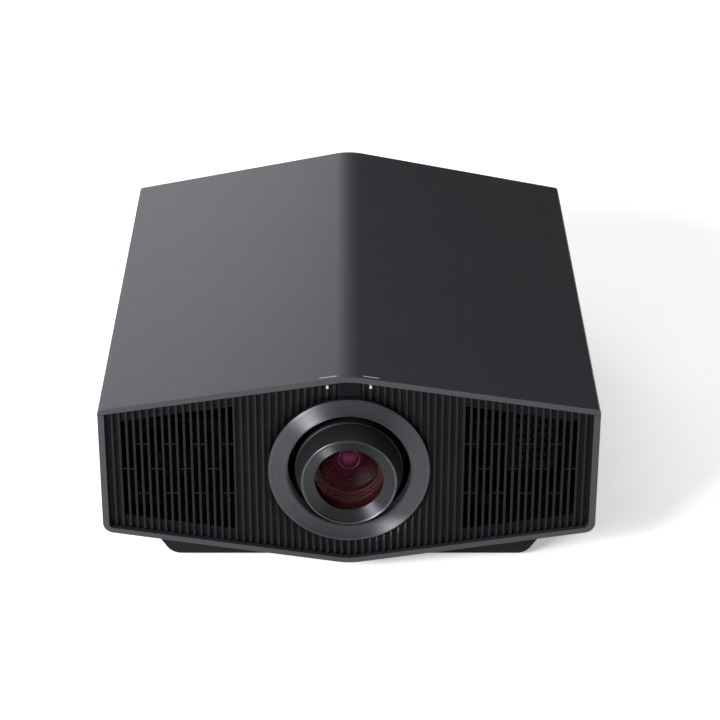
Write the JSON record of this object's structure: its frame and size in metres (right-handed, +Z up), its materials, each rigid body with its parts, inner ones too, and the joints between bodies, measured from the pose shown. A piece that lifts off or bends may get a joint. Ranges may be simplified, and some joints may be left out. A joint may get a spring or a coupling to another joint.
{
  "type": "home projector",
  "caption": "Wide ridged cabinet with ribbed front grille, centred motor-shift lens in a metal trim ring, side sockets and keys, and screw feet under a base pan.",
  "frame": {"origin": "on the ground, under the middle of the whole box", "axes": "+X is the viewer's right, facing the lens; -Y is the way the lens looks; +Z is up"},
  "size_m": [0.46, 0.5372, 0.2206],
  "materials": {
    "casing": "satin charcoal moulding with a fine texture",
    "grille": "satin black moulding",
    "trim_metal": "dark anodised, spun",
    "dark_plastic": "matt black",
    "barrel_finish": "satin black paint",
    "lens_glass": "coated glass, red to magenta",
    "light_pipe": "clear, faintly milky",
    "screen_metal": "dark perforated sheet",
    "filter_foam": "open cell foam",
    "sheet_steel": "plated sheet",
    "bright_steel": "turned",
    "cast_aluminium": "as cast and machined",
    "phosphor": "coated disc",
    "circuit_board": "solder mask",
    "socket_shell": "plated shells",
    "rubber": "matt",
    "key_plastic": "satin"
  },
  "bodies": {
    "cabinet": {"top_cover": "casing", "bottom_casing": "casing", "rear_panel": "casing", "base_pan": "casing", "front_grille": "grille", "lens_trim_ring": "trim_metal", "lens_shroud": "dark_plastic", "combiner_prism": "lens_glass", "light_pipe_left": "light_pipe", "light_pipe_right": "light_pipe", "remote_receiver": "dark_plastic", "vent_screen": "screen_metal", "air_filter": "filter_foam", "main_chassis": "sheet_steel", "optical_block": "cast_aluminium", "panel_red": "dark_plastic", "panel_green": "dark_plastic", "panel_blue": "dark_plastic", "laser_module": "cast_aluminium", "laser_heat_sink": "cast_aluminium", "wheel_motor": "sheet_steel", "main_board": "circuit_board", "power_supply": "sheet_steel", "connector_plate": "dark_plastic", "hdmi_socket_1": "socket_shell", "hdmi_socket_2": "socket_shell", "lan_socket": "socket_shell", "usb_socket": "socket_shell", "mains_inlet": "dark_plastic", "exhaust_fan_left_frame": "dark_plastic", "exhaust_fan_right_frame": "dark_plastic", "rear_foot_left": "rubber", "rear_foot_right": "rubber", "keypad_frame": "key_plastic", "vertical_shift_motor": "sheet_steel"},
    "lens_lift": {"vertical_carriage": "cast_aluminium", "horizontal_shift_motor": "sheet_steel"},
    "lens": {"horizontal_carriage": "cast_aluminium", "lens_barrel": "barrel_finish"},
    "vertical_screw": {"vertical_lead_screw": "bright_steel"},
    "horizontal_screw": {"horizontal_lead_screw": "bright_steel"},
    "focus_ring_body": {"focus_ring": "cast_aluminium"},
    "front_glass_cell": {"front_glass": "lens_glass"},
    "zoom_ring_body": {"zoom_ring": "cast_aluminium"},
    "zoom_cell": {"zoom_group": "lens_glass"},
    "wheel": {"phosphor_wheel": "phosphor"},
    "left_fan": {"exhaust_fan_left_rotor": "dark_plastic"},
    "right_fan": {"exhaust_fan_right_rotor": "dark_plastic"},
    "left_foot": {"front_foot_pad_left": "rubber"},
    "right_foot": {"front_foot_pad_right": "rubber"},
    "left_foot_screw": {"front_foot_screw_left": "bright_steel"},
    "right_foot_screw": {"front_foot_screw_right": "bright_steel"},
    "power_button": {"power_key": "key_plastic"},
    "input_button": {"input_key": "key_plastic"},
    "menu_button": {"menu_key": "key_plastic"},
    "up_button": {"up_key": "key_plastic"},
    "down_button": {"down_key": "key_plastic"},
    "left_button": {"left_key": "key_plastic"},
    "right_button": {"right_key": "key_plastic"},
    "enter_button": {"enter_key": "key_plastic"}
  },
  "joints": [
    {"name": "vertical_shift", "type": "slide", "parent": "cabinet", "child": "lens_lift", "axis": [0, 0, 1], "range_m": [-0.0055, 0.0055]},
    {"name": "horizontal_shift", "type": "slide", "parent": "lens_lift", "child": "lens", "axis": [1, 0, 0], "range_m": [-0.004, 0.004]},
    {"name": "vertical_screw_turn", "type": "hinge", "parent": "cabinet", "child": "vertical_screw", "pos_m": [0.098, -0.06335, 0.11535], "axis": [0, 0, 1], "range_deg": [-661, 661]},
    {"name": "horizontal_screw_turn", "type": "hinge", "parent": "lens_lift", "child": "horizontal_screw", "pos_m": [0, -0.07265, 0.17896], "axis": [1, 0, 0], "range_deg": [-481, 481]},
    {"name": "focus_turn", "type": "hinge", "parent": "lens", "child": "focus_ring_body", "pos_m": [0, -0.24695, 0.11535], "axis": [0, 1, 0], "range_deg": [-40, 40]},
    {"name": "focus_travel", "type": "slide", "parent": "lens", "child": "front_glass_cell", "axis": [0, 1, 0], "range_m": [-0.0015, 0.0015]},
    {"name": "zoom_turn", "type": "hinge", "parent": "lens", "child": "zoom_ring_body", "pos_m": [0, -0.24695, 0.11535], "axis": [0, 1, 0], "range_deg": [-45, 45]},
    {"name": "zoom_travel", "type": "slide", "parent": "lens", "child": "zoom_cell", "axis": [0, 1, 0], "range_m": [-0.008, 0.008]},
    {"name": "wheel_spin", "type": "hinge", "parent": "cabinet", "child": "wheel", "pos_m": [0, 0.00615, 0.11535], "axis": [1, 0, 0], "continuous": true},
    {"name": "left_fan_spin", "type": "hinge", "parent": "cabinet", "child": "left_fan", "pos_m": [-0.15798, -0.24695, 0.11535], "axis": [0, 1, 0], "continuous": true},
    {"name": "right_fan_spin", "type": "hinge", "parent": "cabinet", "child": "right_fan", "pos_m": [0.15798, -0.24695, 0.11535], "axis": [0, 1, 0], "continuous": true},
    {"name": "left_foot_travel", "type": "slide", "parent": "cabinet", "child": "left_foot", "axis": [0, 0, -1], "range_m": [0, 0.01]},
    {"name": "left_foot_turn", "type": "hinge", "parent": "left_foot", "child": "left_foot_screw", "pos_m": [-0.145, -0.16695, 0], "axis": [0, 0, -1], "range_deg": [-1, 901]},
    {"name": "right_foot_travel", "type": "slide", "parent": "cabinet", "child": "right_foot", "axis": [0, 0, -1], "range_m": [0, 0.01]},
    {"name": "right_foot_turn", "type": "hinge", "parent": "right_foot", "child": "right_foot_screw", "pos_m": [0.145, -0.16695, 0], "axis": [0, 0, -1], "range_deg": [-1, 901]},
    {"name": "power_press", "type": "slide", "parent": "cabinet", "child": "power_button", "axis": [-1, 0, 0], "range_m": [0, 0.0008], "stiffness_N_per_m": 300, "springref_m": -0.001},
    {"name": "input_press", "type": "slide", "parent": "cabinet", "child": "input_button", "axis": [-1, 0, 0], "range_m": [0, 0.0008], "stiffness_N_per_m": 300, "springref_m": -0.001},
    {"name": "menu_press", "type": "slide", "parent": "cabinet", "child": "menu_button", "axis": [-1, 0, 0], "range_m": [0, 0.0008], "stiffness_N_per_m": 300, "springref_m": -0.001},
    {"name": "up_press", "type": "slide", "parent": "cabinet", "child": "up_button", "axis": [-1, 0, 0], "range_m": [0, 0.0008], "stiffness_N_per_m": 300, "springref_m": -0.001},
    {"name": "down_press", "type": "slide", "parent": "cabinet", "child": "down_button", "axis": [-1, 0, 0], "range_m": [0, 0.0008], "stiffness_N_per_m": 300, "springref_m": -0.001},
    {"name": "left_press", "type": "slide", "parent": "cabinet", "child": "left_button", "axis": [-1, 0, 0], "range_m": [0, 0.0008], "stiffness_N_per_m": 300, "springref_m": -0.001},
    {"name": "right_press", "type": "slide", "parent": "cabinet", "child": "right_button", "axis": [-1, 0, 0], "range_m": [0, 0.0008], "stiffness_N_per_m": 300, "springref_m": -0.001},
    {"name": "enter_press", "type": "slide", "parent": "cabinet", "child": "enter_button", "axis": [-1, 0, 0], "range_m": [0, 0.0008], "stiffness_N_per_m": 300, "springref_m": -0.001}
  ],
  "couplings": [
    {"joint": "vertical_screw_turn", "follows": "vertical_shift", "rad_per_m": -2094.4},
    {"joint": "horizontal_screw_turn", "follows": "horizontal_shift", "rad_per_m": -2094.4},
    {"joint": "focus_travel", "follows": "focus_turn", "m_per_rad": 0.002},
    {"joint": "zoom_travel", "follows": "zoom_turn", "m_per_rad": 0.01},
    {"joint": "left_foot_turn", "follows": "left_foot_travel", "rad_per_m": 1570.8},
    {"joint": "right_foot_turn", "follows": "right_foot_travel", "rad_per_m": 1570.8}
  ]
}
